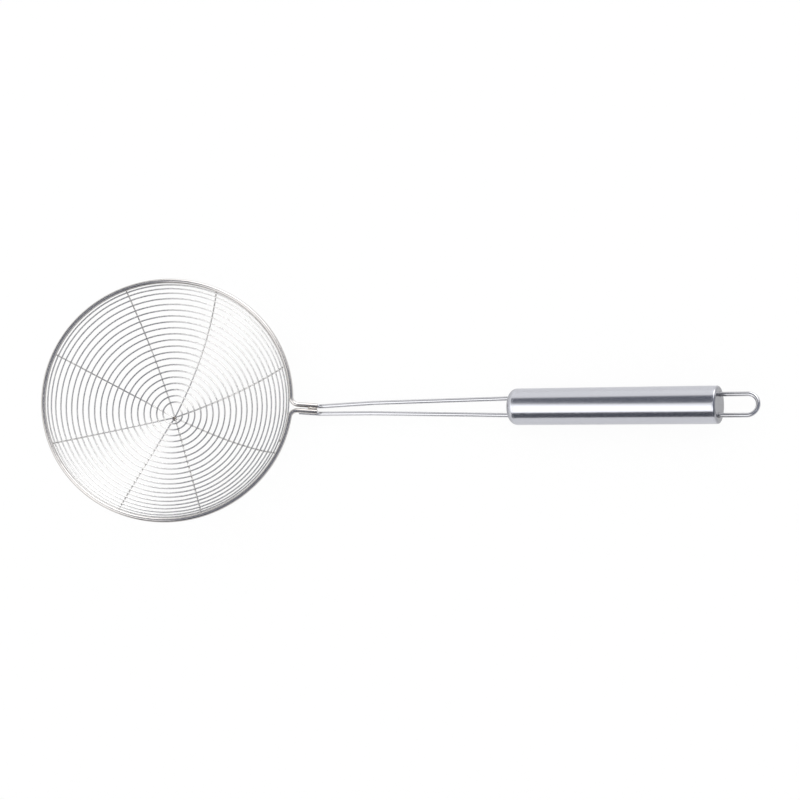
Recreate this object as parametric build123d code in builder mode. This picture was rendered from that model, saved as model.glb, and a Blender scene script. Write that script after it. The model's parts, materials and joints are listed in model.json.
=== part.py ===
from build123d import *
from math import asin, atan2, cos, degrees, hypot, pi, radians, sin, sqrt, tan
import os

os.makedirs("parts", exist_ok=True)

# Lengths are millimetres and angles degrees. The model is drawn with the rim's plane level at
# z = 0 and the handle towards +X, and is set down on the table at the end.

# Rim: one thick wire round the mouth of the bowl, its two ends turned out side by side
basket_diameter = 137.0
rim_wire = 2.5
neck_reach = 13.5
neck_bend_radius = 4.3
neck_gap = 0.8

# Bowl: a spiral wire on a sphere, carried by spokes under it that meet off the middle
bowl_depth = 35.1
spiral_wire = 0.9
spiral_turns = 21.13
spiral_start_reach = 4.3
spiral_start_angle = 30.0
closing_turns = 3
closing_pitch_share = 0.54
rim_seat_angle = 45.0
spiral_offset_x = 0.6
spiral_offset_y = -0.6
offset_fade_power = 4
spoke_wire = 0.9
spoke_angles = (22.8, 73.1, 115.6, 160.4, 203.8, 250.4, 290.9, 338.6)
spoke_bow_shares = (0.005, -0.024, -0.019, -0.028, -0.036, -0.034, 0, -0.006)
hub_offset_x = 1.0
hub_offset_y = -2.2
hub_weld_diameter = 3.2
hub_weld_height = 1.3
hub_weld_round_share = 0.4
weld_gap = 0.04

# Handle rod: one wire, its ends welded under the rim's ends and its bend the hanging loop
rod_wire = 2.3
handle_rise = 27.0
handle_yaw = -2.4
handle_shift = 0.8
leg_seat_length = 10.0
leg_bend_radius = 5.0
leg_bend_margin = 0.3
neck_leg_spacing = 4.2
knee_reach_share = 0.285
knee_leg_spacing = 5.8
front_leg_spacing = 9.1
loop_width = 10.8
leg_ease_radius = 60.0
bend_to_grip = 112.0
loop_reach = 20.3
end_chamfer_share = 0.12

# Grip: a thin tube closed by two pressed caps that the rod's legs pass through, the front one domed
grip_diameter = 19.0
grip_length = 110.4
grip_wall = 0.8
front_cap_depth = 4.6
front_cap_round = 4.0
rear_cap_depth = 1.6
rear_cap_round = 1.2
cap_thickness = 1.6
cap_round_limit_share = 0.9
cap_skirt_length = 4.0
cap_skirt_wall = 0.7
cap_fit_clearance = 0.05
leg_hole_clearance = 0.2
cut_overrun = 1.0

# How finely the spiral is drawn and measured
arcs_per_turn = 4
gap_points_per_turn = 48
tangent_step_share = 0.0001
points_per_spoke = 200
settle_steps = 40


# Bowl shape worked out from the sizes above
rim_radius = (basket_diameter - rim_wire) / 2
rim_seat = rim_wire / 2 + spiral_wire / 2 + weld_gap
seat_radius = rim_radius - rim_seat * cos(radians(rim_seat_angle))
seat_drop = rim_seat * sin(radians(rim_seat_angle))
bowl_height = bowl_depth - seat_drop
bowl_radius = (seat_radius**2 + bowl_height**2) / (2 * bowl_height)
bowl_centre_z = bowl_radius - bowl_depth
spoke_radius = bowl_radius + (spiral_wire + spoke_wire) / 2 + weld_gap

full_reach = bowl_radius * asin(seat_radius / bowl_radius)
whole_pitches = spiral_turns - closing_turns * (1 - closing_pitch_share) / 2
spiral_pitch = (full_reach - spiral_start_reach) / whole_pitches


def on_bowl(x, y, radius):
    """The point of a sphere round the bowl's centre, straight below (x, y)."""
    return Vector(x, y, bowl_centre_z - sqrt(radius**2 - x**2 - y**2))


def spiral_point(turn):
    """Middle of the spiral wire, so many turns out from its inner end."""
    late = max(0, turn - (spiral_turns - closing_turns))
    reach = spiral_start_reach + spiral_pitch * turn
    reach -= spiral_pitch * (1 - closing_pitch_share) * late**2 / (2 * closing_turns)
    angle = radians(spiral_start_angle) - 2 * pi * turn
    out = bowl_radius * sin(reach / bowl_radius)
    shift = 1 - (turn / spiral_turns) ** offset_fade_power
    x = spiral_offset_x * shift + out * cos(angle)
    y = spiral_offset_y * shift + out * sin(angle)
    return on_bowl(x, y, bowl_radius)


def spiral_tangent(turn):
    ahead = spiral_point(min(spiral_turns, turn + tangent_step_share))
    behind = spiral_point(turn - tangent_step_share)
    return (ahead - behind).normalized()


def biarc(start, start_tangent, end, end_tangent):
    """Two arcs from start to end that meet in line."""
    chord = end - start
    tangents = start_tangent + end_tangent
    turned = 2 * (1 - start_tangent.dot(end_tangent))
    along = chord.dot(tangents)
    reach = (sqrt(along**2 + turned * chord.dot(chord)) - along) / turned
    joint = (start + end + (start_tangent - end_tangent) * reach) / 2
    half = (joint - start).normalized()
    joint_tangent = half * (2 * half.dot(start_tangent)) - start_tangent
    TangentArc(start, joint, tangent=start_tangent)
    TangentArc(joint, end, tangent=joint_tangent)


# Rim wire: out along the neck, round the basket and back, in the plane z = 0
neck_side = (rim_wire + neck_gap) / 2
neck_end_x = basket_diameter / 2 + neck_reach
bend_side = neck_side + neck_bend_radius
bend_x = sqrt((rim_radius + neck_bend_radius) ** 2 - bend_side**2)
bend_angle = degrees(atan2(bend_side, bend_x))

with BuildPart() as rim_ring:
    with BuildLine() as rim_path:
        Line((neck_end_x, neck_side), (bend_x, neck_side))
        CenterArc((bend_x, bend_side), neck_bend_radius, 270, bend_angle - 90)
        CenterArc((0, 0), rim_radius, bend_angle, 360 - 2 * bend_angle)
        CenterArc((bend_x, -bend_side), neck_bend_radius, 180 - bend_angle, bend_angle - 90)
        Line((bend_x, -neck_side), (neck_end_x, -neck_side))
    with BuildSketch(Plane(origin=(neck_end_x, neck_side, 0), z_dir=(-1, 0, 0))):
        Circle(rim_wire / 2)
    sweep(path=rim_path.wire())
    cut_ends = rim_ring.faces().filter_by(GeomType.PLANE)
    chamfer(cut_ends.edges(), length=rim_wire * end_chamfer_share)

# Spiral wire: one unbroken tube from its free inner end to its seat on the rim
arc_count = round(spiral_turns * arcs_per_turn)
stops = [spiral_turns * i / arc_count for i in range(arc_count + 1)]

with BuildPart() as spiral:
    with BuildLine() as spiral_path:
        points = [spiral_point(turn) for turn in stops]
        tangents = [spiral_tangent(turn) for turn in stops]
        first, first_tangent = points[0], tangents[0]
        Line(first - first_tangent * spiral_wire, first)
        for i in range(arc_count):
            biarc(points[i], tangents[i], points[i + 1], tangents[i + 1])
        Line(points[-1], points[-1] + tangents[-1] * spiral_wire)
    with BuildSketch(Plane(origin=first - first_tangent * spiral_wire, z_dir=first_tangent)):
        Circle(spiral_wire / 2)
    sweep(path=spiral_path.wire())

gap_steps = round(spiral_turns * gap_points_per_turn)
gap_points = [spiral_point(spiral_turns * i / gap_steps) for i in range(gap_steps + 1)]
least_gap = min(
    (a - b).length - spiral_wire
    for i, a in enumerate(gap_points)
    for b in gap_points[i + gap_points_per_turn // 2 : i + 2 * gap_points_per_turn]
)
wound_volume = pi * (spiral_wire / 2) ** 2 * spiral_path.wire().length
print(f"spiral: {spiral_turns} turns, pitch {spiral_pitch:.2f} mm")
print(f"spiral: least gap to itself {least_gap:.2f} mm")
print(f"spiral: volume {spiral.part.volume:.1f}, section times length {wound_volume:.1f} mm3")

# Hub weld: the flattened lump that the spokes are fused into
hub_top = on_bowl(hub_offset_x, hub_offset_y, spoke_radius)

with BuildPart() as hub_weld:
    with BuildSketch(Plane(origin=hub_top - Vector(0, 0, hub_weld_height / 2))):
        Circle(hub_weld_diameter / 2)
    extrude(amount=hub_weld_height)
    fillet(hub_weld.edges(), radius=hub_weld_height * hub_weld_round_share)

# Spokes: arms of equal wire from the hub weld up the outside of the bowl to the rim's underside
spokes = {}
spoke_points = []
for number, (angle, bow_share) in enumerate(zip(spoke_angles, spoke_bow_shares), start=1):
    along_x, along_y = cos(radians(angle)), sin(radians(angle))
    hub_along = hub_offset_x * along_x + hub_offset_y * along_y
    hub_square = hub_offset_x**2 + hub_offset_y**2
    run = sqrt(hub_along**2 + rim_radius**2 - hub_square) - hub_along
    bow = rim_radius * bow_share
    half_x = hub_offset_x + run / 2 * along_x - bow * along_y
    half_y = hub_offset_y + run / 2 * along_y + bow * along_x
    end_x, end_y = hub_offset_x + run * along_x, hub_offset_y + run * along_y
    with BuildPart() as spoke:
        with BuildLine() as spoke_path:
            ThreePointArc(
                on_bowl(hub_offset_x, hub_offset_y, spoke_radius),
                on_bowl(half_x, half_y, spoke_radius),
                on_bowl(end_x, end_y, spoke_radius),
            )
        with BuildSketch(Plane(origin=spoke_path.line @ 0, z_dir=spoke_path.line % 0)):
            Circle(spoke_wire / 2)
        sweep(path=spoke_path.wire())
        with BuildSketch(Plane(origin=hub_top - Vector(0, 0, hub_weld_height + cut_overrun))):
            Circle(hub_weld_diameter / 2 + weld_gap)
        extrude(amount=2 * (hub_weld_height + cut_overrun), mode=Mode.SUBTRACT)
        with BuildSketch(Plane.XZ):
            with Locations((rim_radius, 0)):
                Circle(rim_wire / 2 + weld_gap)
        revolve(axis=Axis.Z, mode=Mode.SUBTRACT)
    spokes[f"spoke_{number}"] = spoke
    spoke_points += [spoke_path.line @ (i / points_per_spoke) for i in range(points_per_spoke + 1)]

# Handle: its legs seat in the groove under the rim's ends, then bend up along the handle's own plane
seat_side = neck_leg_spacing / 2 - neck_side
leg_seat = (rim_wire + rod_wire) / 2 + weld_gap
leg_drop = sqrt(leg_seat**2 - seat_side**2)
bend_tangent = leg_bend_radius * tan(radians(handle_rise) / 2)
handle_start_x = neck_end_x + bend_tangent + leg_bend_margin
rise, yaw = radians(handle_rise), radians(handle_yaw)
handle = Plane(
    origin=(handle_start_x, handle_shift, -leg_drop),
    x_dir=(cos(rise) * cos(yaw), cos(rise) * sin(yaw), sin(rise)),
    z_dir=(-sin(rise) * cos(yaw), -sin(rise) * sin(yaw), cos(rise)),
)
grip_front = bend_to_grip
grip_back = grip_front + grip_length
loop_middle = grip_back + loop_reach - rod_wire / 2 - loop_width / 2


def on_handle(along, side):
    """A point of the handle's own plane: along it from the bend, and to its side."""
    return handle.from_local_coords(Vector(along, side, 0))


def across_handle(along):
    """The plane square to the handle, so far along it."""
    return Plane(origin=on_handle(along, 0), x_dir=handle.y_dir, z_dir=handle.x_dir)


def leg_route(side):
    """Corners of one leg, from its welded end to the start of the hanging loop."""
    bend = on_handle(0, (side * neck_leg_spacing / 2 - handle_shift) / cos(yaw))
    return [
        bend - Vector(leg_seat_length + bend_tangent + leg_bend_margin, 0, 0),
        bend,
        on_handle(bend_to_grip * knee_reach_share, side * knee_leg_spacing / 2),
        on_handle(grip_front + cap_thickness / 2, side * front_leg_spacing / 2),
        on_handle(grip_back - cap_thickness / 2, side * loop_width / 2),
        on_handle(loop_middle, side * loop_width / 2),
    ]


with BuildPart() as handle_rod:
    with BuildLine() as rod_path:
        left, right = leg_route(1), leg_route(-1)
        radii = [leg_bend_radius, leg_ease_radius, leg_ease_radius, leg_ease_radius]
        FilletPolyline(*left, radius=radii)
        ThreePointArc(left[-1], on_handle(loop_middle + loop_width / 2, 0), right[-1])
        FilletPolyline(*reversed(right), radius=radii[::-1])
    with BuildSketch(Plane(origin=left[0], z_dir=(1, 0, 0))):
        Circle(rod_wire / 2)
    sweep(path=rod_path.wire())
    rod_ends = handle_rod.faces().filter_by(GeomType.PLANE)
    chamfer(rod_ends.edges(), length=rod_wire * end_chamfer_share)

# Grip tube: between the outer parts of its two caps
with BuildPart() as grip_tube:
    with BuildSketch(across_handle(grip_front + front_cap_depth)):
        Circle(grip_diameter / 2)
        Circle(grip_diameter / 2 - grip_wall, mode=Mode.SUBTRACT)
    extrude(amount=grip_length - front_cap_depth - rear_cap_depth)


def make_cap(face_along, inward, leg_spacing, depth, edge_round):
    """A pressed cap: flush with the tube outside it, a skirt inside it and a hole for each leg."""
    outer = across_handle(face_along)
    skirt_radius = grip_diameter / 2 - grip_wall - cap_fit_clearance
    with BuildPart() as cap:
        with BuildSketch(outer):
            Circle(grip_diameter / 2)
        extrude(amount=inward * depth)
        outer_edge = cap.edges().sort_by(Axis(outer.origin, outer.z_dir * inward))[0]
        fillet(outer_edge, radius=edge_round)
        with BuildSketch(across_handle(face_along + inward * depth)):
            Circle(skirt_radius)
        extrude(amount=inward * cap_skirt_length)
        with BuildSketch(across_handle(face_along + inward * cap_thickness)):
            Circle(skirt_radius - cap_skirt_wall)
        extrude(amount=inward * (depth + cap_skirt_length), mode=Mode.SUBTRACT)
        with BuildSketch(across_handle(face_along - inward * cut_overrun)):
            with Locations((leg_spacing / 2, 0), (-leg_spacing / 2, 0)):
                Circle(rod_wire / 2 + leg_hole_clearance)
        extrude(amount=inward * (cap_thickness + 2 * cut_overrun), mode=Mode.SUBTRACT)
    return cap


front_round = min(front_cap_round, front_cap_depth * cap_round_limit_share)
rear_round = min(rear_cap_round, rear_cap_depth * cap_round_limit_share)
front_cap = make_cap(grip_front, 1, front_leg_spacing, front_cap_depth, front_round)
rear_cap = make_cap(grip_back, -1, loop_width, rear_cap_depth, rear_round)


def bowl_support(tilt):
    """How far the underside of the bowl reaches from its centre, straight down when tilted."""
    centre, down = Vector(0, 0, bowl_centre_z), Vector(sin(tilt), 0, -cos(tilt))
    spoke_reach = max((point - centre).dot(down) for point in spoke_points) + spoke_wire / 2
    return max(spoke_reach, bowl_radius + spiral_wire / 2)


# Resting pose: tilted until the bowl's underside and the grip's front edge both touch the table
edge_middle = on_handle(grip_front + front_round, 0)
edge = edge_middle - handle.z_dir * (grip_diameter / 2 - front_round)
edge_distance = hypot(edge.X, edge.Z - bowl_centre_z)
edge_angle = atan2(edge.Z - bowl_centre_z, edge.X)
tilt = 0
for _ in range(settle_steps):
    tilt = edge_angle + asin((bowl_support(tilt) - front_round) / edge_distance)

pieces = {
    "rim_ring": rim_ring,
    "spiral_wire": spiral,
    "hub_weld": hub_weld,
    **spokes,
    "handle_rod": handle_rod,
    "grip_tube": grip_tube,
    "front_cap": front_cap,
    "rear_cap": rear_cap,
}
for piece in pieces.values():
    piece.part.move(Location((0, 0, 0), (0, degrees(tilt), 0)))

rim_box = rim_ring.part.bounding_box()
rod_box = handle_rod.part.bounding_box()
middle_x = (rim_box.min.X + rod_box.max.X) / 2
middle_y = (rim_box.min.Y + rim_box.max.Y) / 2
table_z = bowl_centre_z * cos(tilt) - bowl_support(tilt)
set_down = Vector(-middle_x, -middle_y, -table_z)

for name, piece in pieces.items():
    piece.part.move(Location(set_down))
    piece.part.label = name
    export_step(piece.part, f"parts/{name}.step")

print(f"bowl: sphere radius {bowl_radius:.3f}, centre {bowl_centre_z:.3f} mm above the rim's plane")
print(f"rest: tilted {degrees(tilt):.4f} degrees")
print(f"rest: moved by {set_down.X:.4f}, {set_down.Y:.4f}, {set_down.Z:.4f} mm")
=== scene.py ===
# Spider skimmer: a wound wire basket on a two-legged rod, with a tube grip and a hanging loop
import json
import math

import bmesh
import bpy
from mathutils import Matrix, Vector, kdtree, noise
from mathutils.geometry import intersect_line_line_2d


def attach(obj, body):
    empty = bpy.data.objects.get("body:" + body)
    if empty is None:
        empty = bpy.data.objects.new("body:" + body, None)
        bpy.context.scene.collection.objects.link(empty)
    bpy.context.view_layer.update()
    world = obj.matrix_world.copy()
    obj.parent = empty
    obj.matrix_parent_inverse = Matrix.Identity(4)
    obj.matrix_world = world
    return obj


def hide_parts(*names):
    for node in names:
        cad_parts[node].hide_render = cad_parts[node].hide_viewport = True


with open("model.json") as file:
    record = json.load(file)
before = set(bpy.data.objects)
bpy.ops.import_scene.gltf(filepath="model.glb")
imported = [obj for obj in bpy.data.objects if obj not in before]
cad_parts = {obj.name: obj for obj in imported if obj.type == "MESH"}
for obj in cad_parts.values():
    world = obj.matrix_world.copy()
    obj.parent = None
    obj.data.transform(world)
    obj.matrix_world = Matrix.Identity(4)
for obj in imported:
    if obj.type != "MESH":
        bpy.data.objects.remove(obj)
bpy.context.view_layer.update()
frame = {"nodes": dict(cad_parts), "record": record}
print("frame loaded:", len(frame["nodes"]), "nodes")

mm = 0.001

# Sizes in mm and angles in degrees, as drawn with the rim level and the handle towards +X
rim = {"basket": 137.0, "wire": 2.5, "neckReach": 13.5, "neckBend": 4.3, "neckGap": 0.8,
       "sides": 28, "steps": 360, "bendSteps": 16, "endRound": 0.3, "endShare": 0.72}
bowl = {"depth": 35.1, "seatAngle": 45.0, "weldGap": 0.04, "offsetX": 0.6, "offsetY": -0.6,
        "hubX": 1.0, "hubY": -2.2}
spiral = {"wire": 0.9, "turns": 21.13, "startReach": 4.3, "startAngle": 30.0, "closingTurns": 3.0,
          "closingShare": 0.54, "fadePower": 4.0, "stepsPerTurn": 150, "sides": 14,
          "wobble": 0.07, "wobbleEvery": 9.0, "seed": 3.0}
spokes = {"wire": 0.9, "angles": (22.8, 73.1, 115.6, 160.4, 203.8, 250.4, 290.9, 338.6),
          "bowShares": (0.005, -0.024, -0.019, -0.028, -0.036, -0.034, 0.0, -0.006),
          "sides": 16, "steps": 60, "wobble": 0.05, "wobbleEvery": 14.0, "seed": 11.0, "intoRim": 0.35}
rod = {"wire": 2.3, "rise": 27.0, "yaw": -2.4, "shift": 0.8, "seat": 10.0, "bend": 5.0, "margin": 0.3,
       "neckSpacing": 4.2, "kneeShare": 0.285, "kneeSpacing": 5.8, "frontSpacing": 9.1,
       "loopWidth": 10.8, "ease": 60.0, "toGrip": 112.0, "loopReach": 20.3, "sides": 28,
       "loopSteps": 40, "endRound": 0.3, "endShare": 0.72}
grip = {"across": 19.0, "length": 110.4, "wall": 0.8, "frontDepth": 4.6, "frontRound": 4.0,
        "rearDepth": 1.6, "rearRound": 1.2, "cap": 1.6, "skirt": 4.0, "skirtWall": 0.7, "fit": 0.05,
        "holeGap": 0.2, "lip": 0.04, "lipSteps": 4, "held": 0.2, "rings": 24, "around": 192,
        "creaseAngle": 50}


def linear(code):
    parts = [int(code[i:i + 2], 16) / 255 for i in (1, 3, 5)]
    return [p / 12.92 if p <= 0.04045 else ((p + 0.055) / 1.055) ** 2.4 for p in parts] + [1.0]


def addNode(tree, kind, inputs=None, **settings):
    made = tree.nodes.new(kind)
    for name, value in settings.items():
        setattr(made, name, value)
    for key, value in (inputs or {}).items():
        if isinstance(value, bpy.types.Node):
            value = value.outputs[0]
        if isinstance(value, bpy.types.NodeSocket):
            tree.links.new(value, made.inputs[key])
        else:
            made.inputs[key].default_value = value
    return made


# Where the drawn skimmer lies: the tilt and shift that bring its grip to the record's grip mount
rise, yaw = math.radians(rod["rise"]), math.radians(rod["yaw"])
mount = next(m for m in frame["record"]["mounts"] if m["name"] == "grip_barrel")
seatSide = rod["neckSpacing"] / 2 - (rim["wire"] + rim["neckGap"]) / 2
legSeat = (rim["wire"] + rod["wire"]) / 2 + bowl["weldGap"]
legDrop = math.sqrt(legSeat ** 2 - seatSide ** 2)
bendTangent = rod["bend"] * math.tan(rise / 2)
neckEnd = rim["basket"] / 2 + rim["neckReach"]
handleStart = Vector((neckEnd + bendTangent + rod["margin"], rod["shift"], -legDrop))
handleX = Vector((math.cos(rise) * math.cos(yaw), math.cos(rise) * math.sin(yaw), math.sin(rise)))
handleZ = Vector((-math.sin(rise) * math.cos(yaw), -math.sin(rise) * math.sin(yaw), math.cos(rise)))
handleY = handleZ.cross(handleX)
gripFront = rod["toGrip"]
gripBack = gripFront + grip["length"]
barrelMiddle = (gripFront + grip["frontDepth"] + gripBack - grip["rearDepth"]) / 2
tilt = math.atan2(handleX.z, handleX.x) - math.atan2(mount["axis"][2], mount["axis"][0])
turned = Matrix.Rotation(tilt, 4, "Y")
setDown = Vector(mount["pos_m"]) - turned @ ((handleStart + handleX * barrelMiddle) * mm)
toRest = Matrix.Translation(setDown) @ turned
print("resting pose: tilted", round(math.degrees(tilt), 3), "degrees")


# Bowl: a part of a sphere, from its depth and the spiral's seat on the rim
rimRadius = (rim["basket"] - rim["wire"]) / 2
rimSeat = rim["wire"] / 2 + spiral["wire"] / 2 + bowl["weldGap"]
seatRadius = rimRadius - rimSeat * math.cos(math.radians(bowl["seatAngle"]))
bowlHeight = bowl["depth"] - rimSeat * math.sin(math.radians(bowl["seatAngle"]))
bowlRadius = (seatRadius ** 2 + bowlHeight ** 2) / (2 * bowlHeight)
bowlCentre = bowlRadius - bowl["depth"]
spokeRadius = bowlRadius + (spiral["wire"] + spokes["wire"]) / 2 + bowl["weldGap"]
fullReach = bowlRadius * math.asin(seatRadius / bowlRadius)
closing = spiral["closingTurns"] * (1 - spiral["closingShare"])
pitch = (fullReach - spiral["startReach"]) / (spiral["turns"] - closing / 2)


def onBowl(x, y, radius):
    return Vector((x, y, bowlCentre - math.sqrt(radius ** 2 - x ** 2 - y ** 2)))


def spiralPoint(turn):
    late = max(0, turn - (spiral["turns"] - spiral["closingTurns"]))
    reach = spiral["startReach"] + pitch * turn
    reach -= pitch * (1 - spiral["closingShare"]) * late ** 2 / (2 * spiral["closingTurns"])
    angle = math.radians(spiral["startAngle"]) - 2 * math.pi * turn
    out = bowlRadius * math.sin(reach / bowlRadius)
    shift = 1 - (turn / spiral["turns"]) ** spiral["fadePower"]
    x = bowl["offsetX"] * shift + out * math.cos(angle)
    y = bowl["offsetY"] * shift + out * math.sin(angle)
    return onBowl(x, y, bowlRadius)


# Finishes: the colours of the steel and of its heat tints, the dark grey of the caps' painted shade, and
# the grain of the patterns in mm
steel = {"rim": "#cbc8c6", "basket": "#e1e0df", "rod": "#cdcdd1", "tube": "#cbccd3", "paintedShade": "#66666a"}
tints = {"pale": "#d3cec8", "straw": "#b3aaa0", "brown": "#857b74", "bronze": "#7a6c60",
         "olive": "#6b6a66"}
patterns = {"mottle": 2.2, "polishLines": 0.28, "blotch": 1.1}


def newMaterial(name):
    made = bpy.data.materials.new(name)
    made.use_nodes = True
    made.node_tree.nodes.clear()
    return made, made.node_tree


# Drawn 18/8 stainless wire, bright from the die: a sharp hard gloss, slightly mottled from handling,
# with a brown to olive heat tint where a weld was made, and an olive painted shade on the rod where it
# enters the rear cap's holes
wireFinish = {"lowGloss": 0.75, "highGloss": 1.35, "heatDulling": 0.25, "ripple": 0.12, "rippleDepth": 0.05}


def wireMaterial(name, steelCode, tintCode, roughness, heatAndShadeShare):
    made, tree = newMaterial(name)
    place = addNode(tree, "ShaderNodeTexCoord")
    marks = addNode(tree, "ShaderNodeTexNoise",
                    {"Vector": place.outputs["Object"], "Scale": 1 / (patterns["mottle"] * mm),
                     "Detail": 3.0, "Roughness": 0.6})
    gloss = addNode(tree, "ShaderNodeMapRange",
                    {"Value": marks.outputs[0], "From Min": 0.3, "From Max": 0.7,
                     "To Min": roughness * wireFinish["lowGloss"],
                     "To Max": roughness * wireFinish["highGloss"]})
    # The attribute holds the heat tint at the welds and, on the rod, the painted shade at the cap holes
    heatAndShade = addNode(tree, "ShaderNodeAttribute", attribute_name="heatTintAndShade")
    amount = addNode(tree, "ShaderNodeMath", {0: heatAndShade.outputs["Fac"], 1: heatAndShadeShare},
                     operation="MULTIPLY", use_clamp=True)
    tinted = addNode(tree, "ShaderNodeMix",
                     {0: amount, 6: linear(steelCode), 7: linear(tintCode)}, data_type="RGBA")
    dulled = addNode(tree, "ShaderNodeMath", {0: amount, 1: wireFinish["heatDulling"], 2: gloss},
                     operation="MULTIPLY_ADD")
    ripple = addNode(tree, "ShaderNodeBump",
                     {"Height": marks.outputs[0], "Strength": wireFinish["ripple"],
                      "Distance": wireFinish["rippleDepth"] * mm})
    shader = addNode(tree, "ShaderNodeBsdfPrincipled",
                     {"Base Color": tinted.outputs[2], "Metallic": 1.0, "Roughness": dulled,
                      "Normal": ripple})
    addNode(tree, "ShaderNodeOutputMaterial", {"Surface": shader})
    return made


# Fused stainless steel of the welds: a dull, lumpy skin, brown to olive from the heat, or pale where
# filler ran
weldFinish = {"darkEnd": 0.3, "middle": 0.5, "lightEnd": 0.75, "roughness": 0.38, "lumps": 0.5,
              "lumpDepth": 0.15}


def weldMaterial(name, dark, middle, light):
    made, tree = newMaterial(name)
    place = addNode(tree, "ShaderNodeTexCoord")
    blotch = addNode(tree, "ShaderNodeTexNoise",
                     {"Vector": place.outputs["Object"], "Scale": 1 / (patterns["blotch"] * mm),
                      "Detail": 4.0})
    colour = addNode(tree, "ShaderNodeValToRGB", {"Fac": blotch.outputs[0]})
    ramp = colour.color_ramp
    ramp.elements[0].position, ramp.elements[0].color = weldFinish["darkEnd"], linear(tints[dark])
    ramp.elements[1].position, ramp.elements[1].color = weldFinish["lightEnd"], linear(tints[light])
    ramp.elements.new(weldFinish["middle"]).color = linear(tints[middle])
    skin = addNode(tree, "ShaderNodeBump",
                   {"Height": blotch.outputs[0], "Strength": weldFinish["lumps"],
                    "Distance": weldFinish["lumpDepth"] * mm})
    shader = addNode(tree, "ShaderNodeBsdfPrincipled",
                     {"Base Color": colour, "Metallic": 1.0, "Roughness": weldFinish["roughness"],
                      "Normal": skin})
    addNode(tree, "ShaderNodeOutputMaterial", {"Surface": shader})
    return made


# Polished stainless tube: soft-edged reflections, with faint polishing lines along its length. The
# pressed caps are of the same steel, with painted shade where their attribute says: darker round the leg
# holes and on the face
tubeFinish = {"stretch": 0.02, "lineShare": 0.5, "lowValue": 0.45, "highValue": 1.05, "lowGloss": 0.85,
              "highGloss": 1.2, "lineDepth": 0.004, "waves": 0.2, "waveDepth": 0.01}


def tubeMaterial(name, roughness, lineStrength, dulled):
    made, tree = newMaterial(name)
    place = addNode(tree, "ShaderNodeTexCoord")
    lean = math.atan2(mount["axis"][1], mount["axis"][0])
    pitchUp = math.asin(mount["axis"][2])
    along = addNode(tree, "ShaderNodeMapping",
                    {"Vector": place.outputs["Object"], "Rotation": (0.0, pitchUp, -lean)})
    stretched = addNode(tree, "ShaderNodeMapping",
                        {"Vector": along, "Scale": (tubeFinish["stretch"], 1.0, 1.0)})
    lines = addNode(tree, "ShaderNodeTexNoise",
                    {"Vector": stretched, "Scale": 1 / (patterns["polishLines"] * mm),
                     "Detail": 5.0, "Roughness": 0.7})
    blotches = addNode(tree, "ShaderNodeTexNoise",
                       {"Vector": along, "Scale": 1 / (patterns["mottle"] * mm),
                        "Detail": 4.0, "Roughness": 0.65})
    uneven = addNode(tree, "ShaderNodeMath",
                     {0: lines.outputs[0], 1: tubeFinish["lineShare"], 2: blotches.outputs[0]},
                     operation="MULTIPLY_ADD")
    gloss = addNode(tree, "ShaderNodeMapRange",
                    {"Value": uneven, "From Min": tubeFinish["lowValue"],
                     "From Max": tubeFinish["highValue"],
                     "To Min": roughness * tubeFinish["lowGloss"],
                     "To Max": roughness * tubeFinish["highGloss"]})
    brushed = addNode(tree, "ShaderNodeBump",
                      {"Height": lines.outputs[0], "Strength": lineStrength,
                       "Distance": tubeFinish["lineDepth"] * mm})
    wavy = addNode(tree, "ShaderNodeBump",
                   {"Height": blotches.outputs[0], "Strength": tubeFinish["waves"],
                    "Distance": tubeFinish["waveDepth"] * mm, "Normal": brushed})
    colour = linear(steel["tube"])
    # Painted shade on the caps: the colour darkens towards a dark grey where their attribute says
    if dulled:
        capShade = addNode(tree, "ShaderNodeAttribute", attribute_name="paintedCapShade")
        mixed = addNode(tree, "ShaderNodeMix",
                        {0: capShade.outputs["Fac"], 6: colour, 7: linear(steel["paintedShade"])},
                        data_type="RGBA")
        colour = mixed.outputs[2]
    shader = addNode(tree, "ShaderNodeBsdfPrincipled",
                     {"Base Color": colour, "Metallic": 1.0, "Roughness": gloss, "Normal": wavy})
    addNode(tree, "ShaderNodeOutputMaterial", {"Surface": shader})
    return made


rimSteel = wireMaterial("drawnStainlessRim", steel["rim"], tints["bronze"], roughness=0.16,
                        heatAndShadeShare=0.6)
basketSteel = wireMaterial("drawnStainlessBasketWire", steel["basket"], tints["brown"], roughness=0.2,
                           heatAndShadeShare=0.28)
rodSteel = wireMaterial("drawnStainlessRod", steel["rod"], tints["olive"], roughness=0.14,
                        heatAndShadeShare=0.6)
weldSteel = weldMaterial("heatTintedWeld", dark="olive", middle="brown", light="straw")
fillerSteel = weldMaterial("paleWeldFiller", dark="straw", middle="pale", light="pale")
tubeSteel = tubeMaterial("polishedStainlessTube", roughness=0.19, lineStrength=0.3, dulled=False)
capSteel = tubeMaterial("pressedStainlessCap", roughness=0.21, lineStrength=0.2, dulled=True)
print("materials made")


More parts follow.
